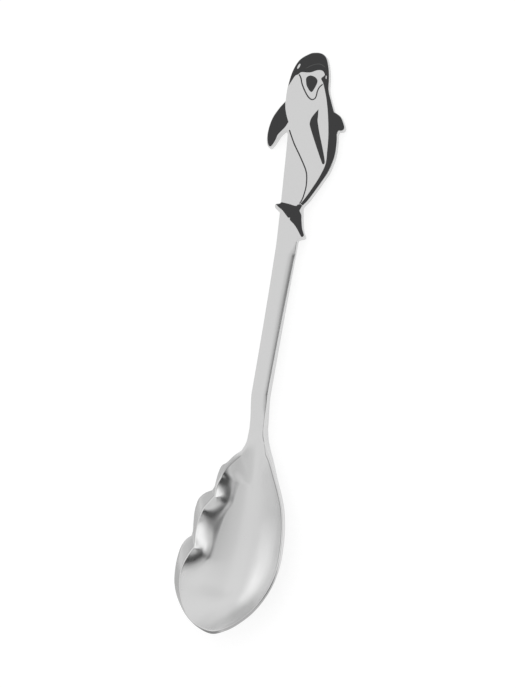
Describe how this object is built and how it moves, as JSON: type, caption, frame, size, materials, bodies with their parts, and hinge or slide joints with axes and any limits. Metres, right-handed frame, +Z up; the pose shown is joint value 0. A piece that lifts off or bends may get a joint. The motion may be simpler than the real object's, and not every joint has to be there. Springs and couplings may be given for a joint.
{
  "type": "coffee spoon",
  "caption": "Small steel coffee spoon with a wavy-edged bowl, a slim flat handle and a flat dolphin figure at its end, filled with black enamel.",
  "frame": {"origin": "on the table, under the middle of the spoon's bounding box, as it lies on the back of its bowl and its figure's end", "axes": "+Y along the handle from the bowl to the dolphin, +Z up from the table, +X to the right as seen from above with the dolphin at the top"},
  "size_m": [0.0276, 0.1492, 0.0093],
  "materials": {
    "steel": "polished, with a fine satin grain",
    "enamel": "satin black epoxy enamel"
  },
  "bodies": {
    "root": {"spoon_body": "steel", "enamel_back": "enamel", "enamel_fluke": "enamel", "enamel_outer_flipper": "enamel", "enamel_inner_flipper": "enamel", "enamel_chin": "enamel", "enamel_throat_line": "enamel", "enamel_belly_line": "enamel"}
  },
  "joints": []
}
